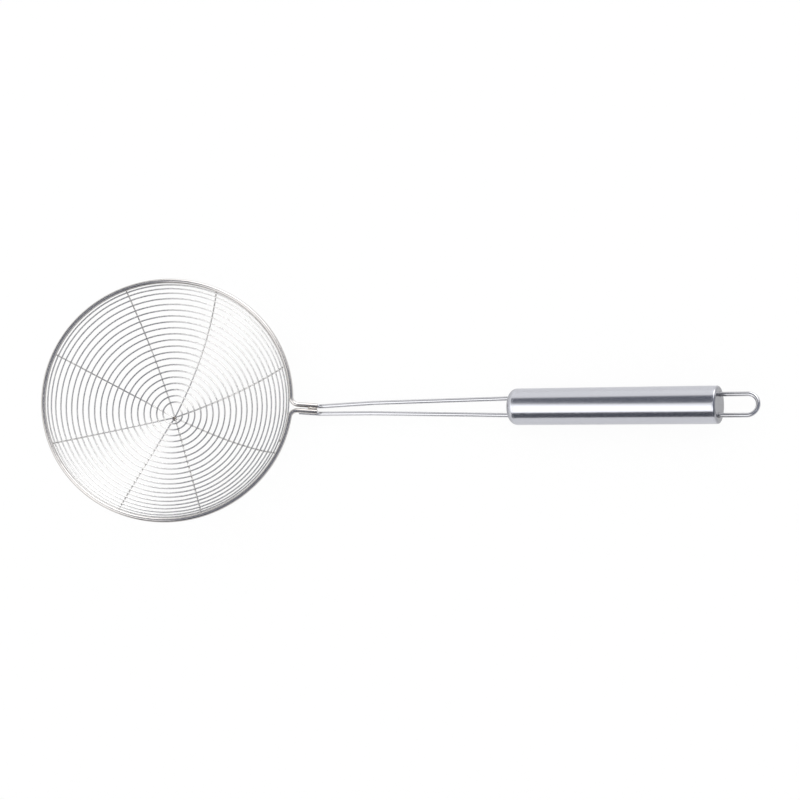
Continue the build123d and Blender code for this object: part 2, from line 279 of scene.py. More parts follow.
# Geometry Nodes: a round wire with eased ends and a slight waver from hand forming, along the host's
# edges or, where the inputs of the spiral's rule are given, along the spiral
def wireTree(name, ruleInputs=()):
    tree = bpy.data.node_groups.new(name, "GeometryNodeTree")
    face = tree.interface
    face.new_socket("Geometry", in_out="INPUT", socket_type="NodeSocketGeometry")
    sizes = ["Wire", "End Round", "End Share", "Wobble", "Wobble Every", "Seed"]
    for label in [*sizes, *ruleInputs]:
        face.new_socket(label, in_out="INPUT", socket_type="NodeSocketFloat")
    for label in ("Sides", "Points"):
        face.new_socket(label, in_out="INPUT", socket_type="NodeSocketInt")
    face.new_socket("Material", in_out="INPUT", socket_type="NodeSocketMaterial")
    face.new_socket("Geometry", in_out="OUTPUT", socket_type="NodeSocketGeometry")
    given = addNode(tree, "NodeGroupInput").outputs
    if ruleInputs:
        line = addNode(tree, "GeometryNodeCurvePrimitiveLine", {"End": (1.0, 0.0, 0.0)})
        fine = addNode(tree, "GeometryNodeResampleCurve", {"Curve": line, "Count": given["Points"]})
        place = spiralPlace(tree, given)
        path = addNode(tree, "GeometryNodeSetPosition", {"Geometry": fine, "Position": place})
    else:
        path = addNode(tree, "GeometryNodeMeshToCurve", {"Mesh": given["Geometry"]})
    # The waver reads the length along the wire, so neighbouring turns differ
    run = addNode(tree, "GeometryNodeSplineParameter").outputs["Length"]
    waveStep = addNode(tree, "ShaderNodeMath", {0: run, 1: given["Wobble Every"]}, operation="DIVIDE")
    waveAt = addNode(tree, "ShaderNodeMath", {0: waveStep, 1: given["Seed"]}, operation="ADD")
    wave = addNode(tree, "ShaderNodeTexNoise", {"W": waveAt, "Scale": 1.0, "Detail": 1.5},
                   noise_dimensions="1D")
    centred = addNode(tree, "ShaderNodeVectorMath", {0: wave.outputs["Color"], 1: (0.5, 0.5, 0.5)},
                      operation="SUBTRACT")
    waver = addNode(tree, "ShaderNodeVectorMath", {0: centred, "Scale": given["Wobble"]},
                    operation="SCALE")
    wavy = addNode(tree, "GeometryNodeSetPosition", {"Geometry": path, "Offset": waver})
    # Each end narrows over its last stretch, as a cropped and tumbled wire end does
    length = addNode(tree, "GeometryNodeSplineLength").outputs["Length"]
    toEnd = addNode(tree, "ShaderNodeMath", {0: length, 1: run}, operation="SUBTRACT")
    nearest = addNode(tree, "ShaderNodeMath", {0: toEnd, 1: run}, operation="MINIMUM")
    part = addNode(tree, "ShaderNodeMath", {0: nearest, 1: given["End Round"]}, operation="DIVIDE",
                   use_clamp=True)
    left = addNode(tree, "ShaderNodeMath", {0: 1.0, 1: part}, operation="SUBTRACT")
    square = addNode(tree, "ShaderNodeMath", {0: left, 1: left}, operation="MULTIPLY")
    under = addNode(tree, "ShaderNodeMath", {0: 1.0, 1: square}, operation="SUBTRACT")
    arc = addNode(tree, "ShaderNodeMath", {0: under}, operation="SQRT")
    eased = addNode(tree, "ShaderNodeMapRange", {"Value": arc, "To Min": given["End Share"]})
    half = addNode(tree, "ShaderNodeMath", {0: given["Wire"], 1: 0.5}, operation="MULTIPLY")
    ring = addNode(tree, "GeometryNodeCurvePrimitiveCircle",
                   {"Resolution": given["Sides"], "Radius": half})
    tube = addNode(tree, "GeometryNodeCurveToMesh",
                   {"Curve": wavy, "Profile Curve": ring.outputs["Curve"], "Scale": eased,
                    "Fill Caps": True})
    smooth = addNode(tree, "GeometryNodeSetShadeSmooth", {"Geometry": tube})
    real = addNode(tree, "GeometryNodeRealizeInstances", {"Geometry": smooth})
    coated = addNode(tree, "GeometryNodeSetMaterial", {"Geometry": real, "Material": given["Material"]})
    addNode(tree, "NodeGroupOutput", {"Geometry": coated})
    return tree


spiralInputs = ["Turns", "Start Reach", "Start Angle", "Pitch", "Closing Turns", "Closing Share",
                "Fade Power", "Offset X", "Offset Y", "Bowl Radius", "Bowl Centre", "Lead"]


# The spiral's rule: steady reach along the bowl for each turn, closing up over the last ones
def spiralPlace(tree, given):
    factor = addNode(tree, "GeometryNodeSplineParameter").outputs["Factor"]
    leadOut = addNode(tree, "ShaderNodeMath", {0: 0.0, 1: given["Lead"]}, operation="SUBTRACT")
    turn = addNode(tree, "ShaderNodeMapRange",
                   {"Value": factor, "To Min": leadOut, "To Max": given["Turns"]})
    openTurns = addNode(tree, "ShaderNodeMath", {0: given["Turns"], 1: given["Closing Turns"]},
                        operation="SUBTRACT")
    past = addNode(tree, "ShaderNodeMath", {0: turn, 1: openTurns}, operation="SUBTRACT")
    late = addNode(tree, "ShaderNodeMath", {0: past, 1: 0.0}, operation="MAXIMUM")
    lateSquare = addNode(tree, "ShaderNodeMath", {0: late, 1: late}, operation="MULTIPLY")
    lost = addNode(tree, "ShaderNodeMath", {0: 1.0, 1: given["Closing Share"]}, operation="SUBTRACT")
    slowed = addNode(tree, "ShaderNodeMath", {0: lateSquare, 1: lost}, operation="MULTIPLY")
    twice = addNode(tree, "ShaderNodeMath", {0: given["Closing Turns"], 1: 2.0}, operation="MULTIPLY")
    lag = addNode(tree, "ShaderNodeMath", {0: slowed, 1: twice}, operation="DIVIDE")
    steady = addNode(tree, "ShaderNodeMath", {0: turn, 1: lag}, operation="SUBTRACT")
    reach = addNode(tree, "ShaderNodeMath",
                    {0: steady, 1: given["Pitch"], 2: given["Start Reach"]}, operation="MULTIPLY_ADD")
    spread = addNode(tree, "ShaderNodeMath", {0: reach, 1: given["Bowl Radius"]}, operation="DIVIDE")
    spreadSine = addNode(tree, "ShaderNodeMath", {0: spread}, operation="SINE")
    out = addNode(tree, "ShaderNodeMath", {0: spreadSine, 1: given["Bowl Radius"]},
                  operation="MULTIPLY")
    angle = addNode(tree, "ShaderNodeMath", {0: turn, 1: -2 * math.pi, 2: given["Start Angle"]},
                    operation="MULTIPLY_ADD")
    done = addNode(tree, "ShaderNodeMath", {0: turn, 1: given["Turns"]}, operation="DIVIDE",
                   use_clamp=True)
    faded = addNode(tree, "ShaderNodeMath", {0: done, 1: given["Fade Power"]}, operation="POWER")
    shift = addNode(tree, "ShaderNodeMath", {0: 1.0, 1: faded}, operation="SUBTRACT")
    cosine = addNode(tree, "ShaderNodeMath", {0: angle}, operation="COSINE")
    sine = addNode(tree, "ShaderNodeMath", {0: angle}, operation="SINE")
    shiftX = addNode(tree, "ShaderNodeMath", {0: shift, 1: given["Offset X"]}, operation="MULTIPLY")
    shiftY = addNode(tree, "ShaderNodeMath", {0: shift, 1: given["Offset Y"]}, operation="MULTIPLY")
    x = addNode(tree, "ShaderNodeMath", {0: out, 1: cosine, 2: shiftX}, operation="MULTIPLY_ADD")
    y = addNode(tree, "ShaderNodeMath", {0: out, 1: sine, 2: shiftY}, operation="MULTIPLY_ADD")
    flat = addNode(tree, "ShaderNodeCombineXYZ", {0: x, 1: y})
    aside = addNode(tree, "ShaderNodeVectorMath", {0: flat, 1: flat}, operation="DOT_PRODUCT")
    ballSquare = addNode(tree, "ShaderNodeMath", {0: given["Bowl Radius"], 1: given["Bowl Radius"]},
                         operation="MULTIPLY")
    below = addNode(tree, "ShaderNodeMath", {0: ballSquare, 1: aside.outputs["Value"]},
                    operation="SUBTRACT")
    drop = addNode(tree, "ShaderNodeMath", {0: below}, operation="SQRT")
    z = addNode(tree, "ShaderNodeMath", {0: given["Bowl Centre"], 1: drop}, operation="SUBTRACT")
    return addNode(tree, "ShaderNodeCombineXYZ", {0: x, 1: y, 2: z})


# Runs a tree on a bare host and keeps the result as a plain mesh in the resting pose
def runTree(name, tree, values, points=(), edges=()):
    host = bpy.data.objects.new(name + "Host", bpy.data.meshes.new(name + "Host"))
    host.data.from_pydata([point * mm for point in points], edges, [])
    bpy.context.collection.objects.link(host)
    modifier = host.modifiers.new(name, "NODES")
    modifier.node_group = tree
    for socket in tree.interface.items_tree:
        if socket.in_out == "INPUT" and socket.name in values:
            modifier[socket.identifier] = values[socket.name]
    graph = bpy.context.evaluated_depsgraph_get()
    mesh = bpy.data.meshes.new_from_object(host.evaluated_get(graph))
    host.modifiers.remove(modifier)
    bpy.data.objects.remove(host)
    return keepMesh(name, mesh)


def keepMesh(name, mesh):
    mesh.name = name
    mesh.transform(toRest)
    piece = bpy.data.objects.new(name, mesh)
    bpy.context.collection.objects.link(piece)
    return piece


def dress(piece, slot, *nodes):
    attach(piece, "root")
    if nodes:
        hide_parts(*nodes)
    print("made", piece.name, len(piece.data.polygons), "faces")


plainWire = wireTree("drawnWire")
woundWire = wireTree("woundWire", spiralInputs)


# Geometry Nodes: a small flattened bead of fused steel on each given spot, square to the bowl
def beadTree():
    tree = bpy.data.node_groups.new("weldBeads", "GeometryNodeTree")
    face = tree.interface
    face.new_socket("Geometry", in_out="INPUT", socket_type="NodeSocketGeometry")
    for label in ("Bead Size", "Flatness", "Size Spread", "Bowl Centre"):
        face.new_socket(label, in_out="INPUT", socket_type="NodeSocketFloat")
    face.new_socket("Seed", in_out="INPUT", socket_type="NodeSocketInt")
    face.new_socket("Material", in_out="INPUT", socket_type="NodeSocketMaterial")
    face.new_socket("Geometry", in_out="OUTPUT", socket_type="NodeSocketGeometry")
    given = addNode(tree, "NodeGroupInput").outputs
    place = addNode(tree, "GeometryNodeInputPosition")
    centre = addNode(tree, "ShaderNodeCombineXYZ", {2: given["Bowl Centre"]})
    outwards = addNode(tree, "ShaderNodeVectorMath", {0: place, 1: centre}, operation="SUBTRACT")
    turn = addNode(tree, "FunctionNodeAlignRotationToVector", {"Vector": outwards}, axis="Z")
    bead = addNode(tree, "GeometryNodeMeshIcoSphere", {"Radius": given["Bead Size"], "Subdivisions": 3})
    least = addNode(tree, "ShaderNodeMath", {0: 1.0, 1: given["Size Spread"]}, operation="SUBTRACT")
    most = addNode(tree, "ShaderNodeMath", {0: 1.0, 1: given["Size Spread"]}, operation="ADD")
    across = addNode(tree, "FunctionNodeRandomValue",
                     {2: least, 3: most, "Seed": given["Seed"]}, data_type="FLOAT")
    high = addNode(tree, "ShaderNodeMath", {0: across.outputs[1], 1: given["Flatness"]},
                   operation="MULTIPLY")
    sizes = addNode(tree, "ShaderNodeCombineXYZ", {0: across.outputs[1], 1: across.outputs[1], 2: high})
    placed = addNode(tree, "GeometryNodeInstanceOnPoints",
                     {"Points": given["Geometry"], "Instance": bead, "Rotation": turn, "Scale": sizes})
    real = addNode(tree, "GeometryNodeRealizeInstances", {"Geometry": placed})
    smooth = addNode(tree, "GeometryNodeSetShadeSmooth", {"Geometry": real})
    coated = addNode(tree, "GeometryNodeSetMaterial", {"Geometry": smooth, "Material": given["Material"]})
    addNode(tree, "NodeGroupOutput", {"Geometry": coated})
    return tree


# A path through corners with a rounding at each, as a wire is bent
def bentPath(corners, radii, perTurn=120):
    points = [corners[0]]
    for before, corner, after, radius in zip(corners, corners[1:], corners[2:], radii):
        a, b = (before - corner).normalized(), (after - corner).normalized()
        half = a.angle(b) / 2
        reach = radius / math.tan(half)
        middle = corner + (a + b).normalized() * (radius / math.sin(half))
        start, end = corner + a * reach - middle, corner + b * reach - middle
        turn = start.angle(end)
        steps = max(2, math.ceil(turn / (2 * math.pi) * perTurn))
        axis = start.cross(end).normalized()
        for i in range(steps + 1):
            points.append(middle + Matrix.Rotation(turn * i / steps, 3, axis) @ start)
    return points + [corners[-1]]


# Points close together at a wire's ends, for their rounding
def easeEnds(points, stretch):
    shares = (0.0, 0.06, 0.2, 0.45, 0.75, 1.0)
    first = (points[1] - points[0]).normalized()
    last = (points[-2] - points[-1]).normalized()
    head = [points[0] + first * stretch * s for s in shares]
    tail = [points[-1] + last * stretch * s for s in reversed(shares)]
    return head + points[1:-1] + tail


def chain(points):
    return [(i, i + 1) for i in range(len(points) - 1)]


def arcPoints(middle, radius, start, sweep, steps):
    return [Vector((middle[0] + radius * math.cos(math.radians(start + sweep * i / steps)),
                    middle[1] + radius * math.sin(math.radians(start + sweep * i / steps)), 0))
            for i in range(steps + 1)]


# Weld heat, and painted shade where the rod enters the rear cap's holes: as full as given at a weld or
# hole, fading to 0 at the given reach, kept on the mesh for the finish
heatAndShadeMarks = {"fadePower": 0.7, "spotsAt": (0, 3, 6, 9), "neckDrop": 0.6, "neckReach": 3.6,
             "legReach": 4.0, "legShare": 0.12, "holeShadeReach": 2.6}


def markHeatAndShade(piece, *groups):
    values = [0.0] * len(piece.data.vertices)
    for spots, reach, full in groups:
        near = kdtree.KDTree(len(spots))
        for i, spot in enumerate(spots):
            near.insert(toRest @ (spot * mm), i)
        near.balance()
        for vertex in piece.data.vertices:
            away = near.find(vertex.co)[2] / (reach * mm)
            warmed = full * max(0.0, 1 - away) ** heatAndShadeMarks["fadePower"]
            values[vertex.index] = max(values[vertex.index], warmed)
    piece.data.attributes.new("heatTintAndShade", "FLOAT", "POINT").data.foreach_set("value", values)


# A wire whose sizes say nothing of it has a finely tumbled end and no waver
plainSizes = {"endRound": 0.12, "endShare": 0.8, "wobble": 0.0, "wobbleEvery": 10.0, "seed": 0.0}


def wireValues(sizes, material, **extra):
    sizes = {**plainSizes, **sizes}
    values = {"Wire": sizes["wire"] * mm, "Sides": sizes["sides"], "Material": material,
              "End Round": sizes["endRound"] * mm, "End Share": sizes["endShare"],
              "Wobble": sizes["wobble"] * 2 * mm, "Wobble Every": sizes["wobbleEvery"] * mm,
              "Seed": sizes["seed"]}
    return {**values, **extra}


# Rim ring: out along the neck, round the basket and back
def makeRim():
    side = (rim["wire"] + rim["neckGap"]) / 2
    bendSide = side + rim["neckBend"]
    bendX = math.sqrt((rimRadius + rim["neckBend"]) ** 2 - bendSide ** 2)
    bendAngle = math.degrees(math.atan2(bendSide, bendX))
    points = [Vector((neckEnd, side, 0))]
    steps = rim["bendSteps"]
    points += arcPoints((bendX, bendSide), rim["neckBend"], 270, bendAngle - 90, steps)
    points += arcPoints((0, 0), rimRadius, bendAngle, 360 - 2 * bendAngle, rim["steps"])[1:]
    points += arcPoints((bendX, -bendSide), rim["neckBend"], 180 - bendAngle, bendAngle - 90, steps)[1:]
    points.append(Vector((neckEnd, -side, 0)))
    points = easeEnds(points, rim["endRound"])
    piece = runTree("rimRing", plainWire, wireValues(rim, rimSteel), points, chain(points))
    spots = [Vector((neckEnd - back, 0, -heatAndShadeMarks["neckDrop"])) for back in heatAndShadeMarks["spotsAt"]]
    markHeatAndShade(piece, (spots, heatAndShadeMarks["neckReach"], 1.0))
    dress(piece, "rim_wire", "rim_ring")


# Spiral wire: one unbroken wire from its free end beside the hub to its weld on the rim
def makeSpiral(crossed):
    lead = spiral["wire"] / (2 * math.pi * spiral["startReach"])
    values = wireValues(spiral, basketSteel, **{
        "Turns": spiral["turns"], "Start Reach": spiral["startReach"] * mm,
        "Start Angle": math.radians(spiral["startAngle"]), "Pitch": pitch * mm,
        "Closing Turns": spiral["closingTurns"], "Closing Share": spiral["closingShare"],
        "Fade Power": spiral["fadePower"], "Offset X": bowl["offsetX"] * mm,
        "Offset Y": bowl["offsetY"] * mm, "Bowl Radius": bowlRadius * mm,
        "Bowl Centre": bowlCentre * mm, "Lead": lead,
        "Points": round(spiral["turns"] * spiral["stepsPerTurn"])})
    piece = runTree("spiralWire", woundWire, values)
    markHeatAndShade(piece, (crossed, beads["heatReach"], 1.0))
    dress(piece, "basket_wire", "spiral_wire")


# Spokes: four wires crossed under the spiral, as eight arms from the hub to the rim's underside
def arcThrough(start, middle, end, steps):
    first, second = middle - start, end - start
    axis = first.cross(second)
    toCentre = axis.cross(first) * second.length_squared + second.cross(axis) * first.length_squared
    centre = start + toCentre / (2 * axis.length_squared)
    sweep = (start - centre).angle(end - centre)
    return [centre + Matrix.Rotation(sweep * i / steps, 3, axis.normalized()) @ (start - centre)
            for i in range(steps + 1)]


def spokePath(angle, bowShare):
    out = Vector((math.cos(angle), math.sin(angle), 0))
    aside = Vector((-out.y, out.x, 0))
    hub = Vector((bowl["hubX"], bowl["hubY"], 0))
    along = hub.dot(out)
    run = math.sqrt(along ** 2 + rimRadius ** 2 - hub.length_squared) - along
    flat = [hub, hub + out * run / 2 + aside * rimRadius * bowShare, hub + out * run]
    points = []
    for point in arcThrough(*[onBowl(spot.x, spot.y, spokeRadius) for spot in flat], spokes["steps"]):
        ringAt = Vector((point.x, point.y, 0)).normalized() * rimRadius
        if (point - ringAt).length < rim["wire"] / 2 - spokes["intoRim"]:
            break
        points.append(point)
    return points


def makeSpokes(paths, crossed):
    for k, points in enumerate(paths):
        values = wireValues(spokes, basketSteel, Seed=spokes["seed"] + k)
        piece = runTree(f"spoke{k + 1}", plainWire, values, points, chain(points))
        markHeatAndShade(piece, (crossed, beads["heatReach"], 1.0))
        dress(piece, "basket_wire", f"spoke_{k + 1}")


# Where the turns of the spiral lie on the spokes, each pressed and welded there. A step of the spiral
# is tried only against the steps of a spoke that lie near it
search = {"leastCosine": 0.97, "steps": 6}


def findCrossings(paths):
    steps = round(spiral["turns"] * spiral["stepsPerTurn"])
    turns = [spiralPoint(spiral["turns"] * i / steps) for i in range(steps + 1)]
    hub = onBowl(bowl["hubX"], bowl["hubY"], spokeRadius).xy
    found = []
    for path in paths:
        stops = [point.xy for point in path]
        reach = stops[-1] - hub
        for here, there in zip(turns, turns[1:]):
            away = here.xy - hub
            if away.dot(reach) < search["leastCosine"] * away.length * reach.length:
                continue
            guess = round(away.length / reach.length * len(stops))
            for i in range(max(0, guess - search["steps"]), min(len(stops) - 1, guess + search["steps"])):
                cross = intersect_line_line_2d(here.xy, there.xy, stops[i], stops[i + 1])
                if cross:
                    found.append(onBowl(cross.x, cross.y, bowlRadius + spiral["wire"] / 2))
                    break
    return found


# Handle rod: both legs under the neck, up the handle's plane, through the grip and round the loop
def onHandle(along, side):
    return handleStart + handleX * along + handleY * side


def legCorners(side):
    bend = onHandle(0, (side * rod["neckSpacing"] / 2 - rod["shift"]) / math.cos(yaw))
    loopMiddle = gripBack + rod["loopReach"] - rod["wire"] / 2 - rod["loopWidth"] / 2
    return [bend - Vector((rod["seat"] + bendTangent + rod["margin"], 0, 0)),
            bend,
            onHandle(rod["toGrip"] * rod["kneeShare"], side * rod["kneeSpacing"] / 2),
            onHandle(gripFront + grip["cap"] / 2, side * rod["frontSpacing"] / 2),
            onHandle(gripBack - grip["cap"] / 2, side * rod["loopWidth"] / 2),
            onHandle(loopMiddle, side * rod["loopWidth"] / 2)]


def makeRod():
    radii = [rod["bend"], rod["ease"], rod["ease"], rod["ease"]]
    left, right = legCorners(1), legCorners(-1)
    middle = (left[-1] + right[-1]) / 2
    half = rod["loopWidth"] / 2
    steps = rod["loopSteps"]
    loop = [middle + handleY * half * math.cos(math.pi * i / steps)
            + handleX * half * math.sin(math.pi * i / steps) for i in range(1, steps)]
    points = bentPath(left, radii) + loop + bentPath(right, radii)[::-1]
    points = easeEnds(points, rod["endRound"])
    piece = runTree("handleRod", plainWire, wireValues(rod, rodSteel), points, chain(points))
    starts = [leg[0] + Vector((along, 0, 0))
              for leg in (left, right) for along in heatAndShadeMarks["spotsAt"]]
    # Painted shade: the rod darkens fully where it enters each hole of the rear cap
    holes = [onHandle(gripBack, side * half) for side in (1, -1)]
    markHeatAndShade(piece, (starts, heatAndShadeMarks["legReach"], heatAndShadeMarks["legShare"]),
             (holes, heatAndShadeMarks["holeShadeReach"], 1.0))
    dress(piece, "handle_wire", "handle_rod")


# A turned shape round the handle's axis, from pairs of place along it and radius
def lathe(profile, around):
    shape = bmesh.new()
    rings = []
    for along, radius in profile:
        ring = []
        for i in range(around):
            angle = 2 * math.pi * i / around
            spot = onHandle(along, 0) + (handleY * math.cos(angle) + handleZ * math.sin(angle)) * radius
            ring.append(shape.verts.new(spot * mm))
        rings.append(ring)
    for ring, following in zip(rings, rings[1:] + rings[:1]):
        for i in range(around):
            j = (i + 1) % around
            shape.faces.new((ring[i], following[i], following[j], ring[j]))
    bmesh.ops.recalc_face_normals(shape, faces=shape.faces)
    return shape


def rounded(along, radius, size, startAngle, sweep, steps):
    return [(along + size * math.cos(math.radians(startAngle + sweep * i / steps)),
             radius + size * math.sin(math.radians(startAngle + sweep * i / steps)))
            for i in range(steps + 1)]


# Grip: the polished tube between its two caps, with its edges broken
def makeGrip():
    outer, inner = grip["across"] / 2, grip["across"] / 2 - grip["wall"]
    start, end = gripFront + grip["frontDepth"], gripBack - grip["rearDepth"]
    lip, steps = grip["lip"], grip["lipSteps"]
    held, rings = grip["held"], grip["rings"]
    profile = rounded(start + lip, outer - lip, lip, 180, -90, steps)
    profile += [(start + held + (end - start - 2 * held) * i / rings, outer) for i in range(rings + 1)]
    profile += rounded(end - lip, outer - lip, lip, 90, -90, steps)
    profile += rounded(end - lip, inner + lip, lip, 0, -90, steps)
    profile += [(end - held, inner), (start + held, inner)]
    profile += rounded(start + lip, inner + lip, lip, 270, -90, steps)
    shape = lathe(profile, grip["around"])
    mesh = bpy.data.meshes.new("gripTube")
    shape.to_mesh(mesh)
    shape.free()
    mesh.materials.append(tubeSteel)
    mesh.shade_smooth()
    mesh.set_sharp_from_angle(angle=math.radians(grip["creaseAngle"]))
    dress(keepMesh("gripTube", mesh), "grip_tube", "grip_tube")


# Caps: pressed cups with a skirt inside the tube and a hole for each leg, with painted shade darkening
# their faces and the steel round the holes
caps = {"middle": 0.02, "faceRings": 16, "shoulderSteps": 16, "holeSides": 48, "holeCut": 8.0,
        "creaseAngle": 40, "holeShadeFade": 1.3, "faceShadeShare": 0.62}


def makeCap(name, node, face, inward, depth, shoulder, spacing):
    outer = grip["across"] / 2
    skirt = outer - grip["wall"] - grip["fit"]
    hollow = skirt - grip["skirtWall"]
    lip, held = grip["lip"], grip["held"]
    middle, rings = caps["middle"], caps["faceRings"]
    flat = outer - shoulder - held
    profile = [(0, middle + (flat - middle) * i / rings) for i in range(rings + 1)]
    profile += rounded(shoulder, outer - shoulder, shoulder, 180, -90, caps["shoulderSteps"])
    profile += [(shoulder + held / 2, outer), (depth - lip - held / 2, outer)]
    profile += rounded(depth - lip, outer - lip, lip, 90, -90, grip["lipSteps"])
    profile += [(depth, skirt), (depth + grip["skirt"], skirt), (depth + grip["skirt"], hollow),
                (grip["cap"], hollow), (grip["cap"], middle)]
    shape = lathe([(face + inward * a, r) for a, r in profile], grip["around"])
    mesh = bpy.data.meshes.new(name)
    shape.to_mesh(mesh)
    shape.free()
    piece = bpy.data.objects.new(name + "Blank", mesh)
    bpy.context.collection.objects.link(piece)
    cutters = []
    holeRadius = (rod["wire"] / 2 + grip["holeGap"]) * mm
    for side in (1, -1):
        hole = bmesh.new()
        bmesh.ops.create_cone(hole, cap_ends=True, segments=caps["holeSides"], radius1=holeRadius,
                              radius2=holeRadius, depth=caps["holeCut"] * mm)
        turn = Matrix((handleY, handleZ, handleX)).transposed().to_4x4()
        hole.transform(Matrix.Translation(onHandle(face, side * spacing / 2) * mm) @ turn)
        cutMesh = bpy.data.meshes.new("hole")
        hole.to_mesh(cutMesh)
        hole.free()
        cutter = bpy.data.objects.new("hole", cutMesh)
        bpy.context.collection.objects.link(cutter)
        cutters.append(cutter)
        cut = piece.modifiers.new("hole", "BOOLEAN")
        cut.operation, cut.object, cut.solver = "DIFFERENCE", cutter, "EXACT"
    graph = bpy.context.evaluated_depsgraph_get()
    cutPiece = bpy.data.meshes.new_from_object(piece.evaluated_get(graph))
    for unused in [piece] + cutters:
        bpy.data.objects.remove(unused)
    cutPiece.materials.clear()
    cutPiece.materials.append(capSteel)
    cutPiece.shade_smooth()
    cutPiece.set_sharp_from_angle(angle=math.radians(caps["creaseAngle"]))
    kept = keepMesh(name, cutPiece)
    # Painted shade: darker round each leg hole, for the shade in the hole's gap, and over the face, for the
    # shaded table that it mirrors
    values = []
    for vertex in kept.data.vertices:
        spot = toRest.inverted() @ vertex.co / mm - onHandle(face, 0)
        away = math.hypot(abs(spot.dot(handleY)) - spacing / 2, spot.dot(handleZ)) - rod["wire"] / 2
        near = max(0.0, 1 - away / caps["holeShadeFade"])
        faceShade = caps["faceShadeShare"] * max(0.0, 1 - abs(spot.dot(handleX)) / shoulder)
        values.append(max(near, faceShade))
    kept.data.attributes.new("paintedCapShade", "FLOAT", "POINT").data.foreach_set("value", values)
    dress(kept, "grip_cap", node)


# Weld beads: a pale one at each crossing, and a larger, browner one where a wire meets the rim
beads = {"crossing": 0.52, "rimEnd": 0.85, "flatness": 0.62, "spread": 0.12, "seed": 5,
         "heatReach": 1.1}


def makeBeads(crossed, ends):
    tree = beadTree()
    for name, spots, size, finish in (("crossingWelds", crossed, "crossing", fillerSteel),
                                      ("rimWelds", ends, "rimEnd", weldSteel)):
        values = {"Bead Size": beads[size] * mm, "Flatness": beads["flatness"],
                  "Size Spread": beads["spread"], "Bowl Centre": bowlCentre * mm,
                  "Seed": beads["seed"], "Material": finish}
        dress(runTree(name, tree, values, spots), "heat_tinted_weld")


# Neck weld: pale filler run into the gap between the rim's two ends, over the rod's legs
neckWeld = {"wire": 1.5, "sides": 20, "endRound": 1.2, "endShare": 0.35, "wobble": 0.12,
            "wobbleEvery": 1.6, "seed": 7.0, "from": 5.3, "to": 0.3, "height": 0.25, "steps": 60}


def makeNeckWeld():
    start, steps = neckEnd - neckWeld["from"], neckWeld["steps"]
    length = neckWeld["from"] - neckWeld["to"]
    points = [Vector((start + length * i / steps, 0, neckWeld["height"])) for i in range(steps + 1)]
    piece = runTree("neckWeld", plainWire, wireValues(neckWeld, fillerSteel), points, chain(points))
    dress(piece, "heat_tinted_weld")


# Hub weld: the lump where the four wires are pressed together and fused
hubWeld = {"across": 3.0, "height": 1.15, "slideX": -0.15, "slideY": -0.5, "swell": 0.22,
           "swellEvery": 1.1, "swellMiddle": 0.3, "roughness": 1.0, "finer": 2.0, "layers": 3}


def makeHub():
    shape = bmesh.new()
    bmesh.ops.create_icosphere(shape, subdivisions=5, radius=0.5)
    middle = onBowl(bowl["hubX"] + hubWeld["slideX"], bowl["hubY"] + hubWeld["slideY"], spokeRadius)
    size = Vector((hubWeld["across"], hubWeld["across"], hubWeld["height"]))
    for vertex in shape.verts:
        swell = noise.fractal(vertex.co / (hubWeld["swellEvery"] / 2), hubWeld["roughness"],
                              hubWeld["finer"], hubWeld["layers"])
        lump = 1 + hubWeld["swell"] * (swell - hubWeld["swellMiddle"])
        vertex.co = (middle + vertex.co * lump * size) * mm
    mesh = bpy.data.meshes.new("hubWeld")
    shape.to_mesh(mesh)
    shape.free()
    mesh.materials.append(weldSteel)
    mesh.shade_smooth()
    dress(keepMesh("hubWeld", mesh), "heat_tinted_weld", "hub_weld")


spokePaths = [spokePath(math.radians(a), s) for a, s in zip(spokes["angles"], spokes["bowShares"])]
crossings = findCrossings(spokePaths)
print("spiral crosses the spokes", len(crossings), "times")
makeRim()
makeSpiral(crossings)
makeSpokes(spokePaths, crossings)
makeBeads(crossings, [path[-1] for path in spokePaths] + [spiralPoint(spiral["turns"])])
makeNeckWeld()
makeRod()
makeGrip()
makeCap("frontCap", "front_cap", gripFront, 1, grip["frontDepth"], grip["frontRound"], rod["frontSpacing"])
makeCap("rearCap", "rear_cap", gripBack, -1, grip["rearDepth"], grip["rearRound"], rod["loopWidth"])
makeHub()
print("pieces made")


# Studio: a white surround and a pale table, with the soft box, wall, strip and flags that the steel
# mirrors. A card's bearing from the handle's direction, its height above the table and its roll are in
# degrees, its distance, size and soft edge in m
studio = {"table": 2.0, "seenMatt": 0.08, "mirroredMatt": 0.6, "white": 1.012, "matt": 0.9,
          "flagTone": "#c8cddd", "cards": {
    "rightFlag": {"bearing": 331, "height": 36, "roll": -17, "away": 1.32, "size": (3.98, 2.64),
                  "level": 0.28, "soft": 0.07, "flag": True},
    "lowFlag": {"bearing": 309, "height": 18, "roll": -19, "away": 1.28, "size": (3.15, 2.12),
                "level": 0.17, "soft": 0.14, "flag": True},
    "leftWall": {"bearing": 197, "height": 15, "roll": 45, "away": 1.15, "size": (2.19, 2.53),
                 "level": 1.05, "soft": 0.36, "flag": False},
    "farStrip": {"bearing": 62, "height": 46, "roll": 26, "away": 2.87, "size": (1.95, 5.74),
                 "level": 2.8, "soft": 0.32, "flag": False},
    "softBox": {"bearing": 239, "height": 53, "roll": -10, "away": 1.20, "size": (1.54, 0.82),
                "level": 1.8, "soft": 0.23, "flag": False},
    "topFlag": {"bearing": 102, "height": 65, "roll": 8, "away": 2.52, "size": (2.12, 2.02),
                "level": 0.15, "soft": 0.43, "flag": True},
    "nearFlag": {"bearing": 269, "height": 11, "roll": 1, "away": 0.61, "size": (0.64, 0.60),
                 "level": 0.09, "soft": 0.03, "flag": True}}}


def makeWorld():
    world = bpy.data.worlds.new("studio")
    bpy.context.scene.world = world
    world.use_nodes = True
    world.node_tree.nodes.clear()
    back = addNode(world.node_tree, "ShaderNodeBackground", {"Color": (1, 1, 1, 1), "Strength": 1.0})
    addNode(world.node_tree, "ShaderNodeOutputWorld", {"Surface": back})


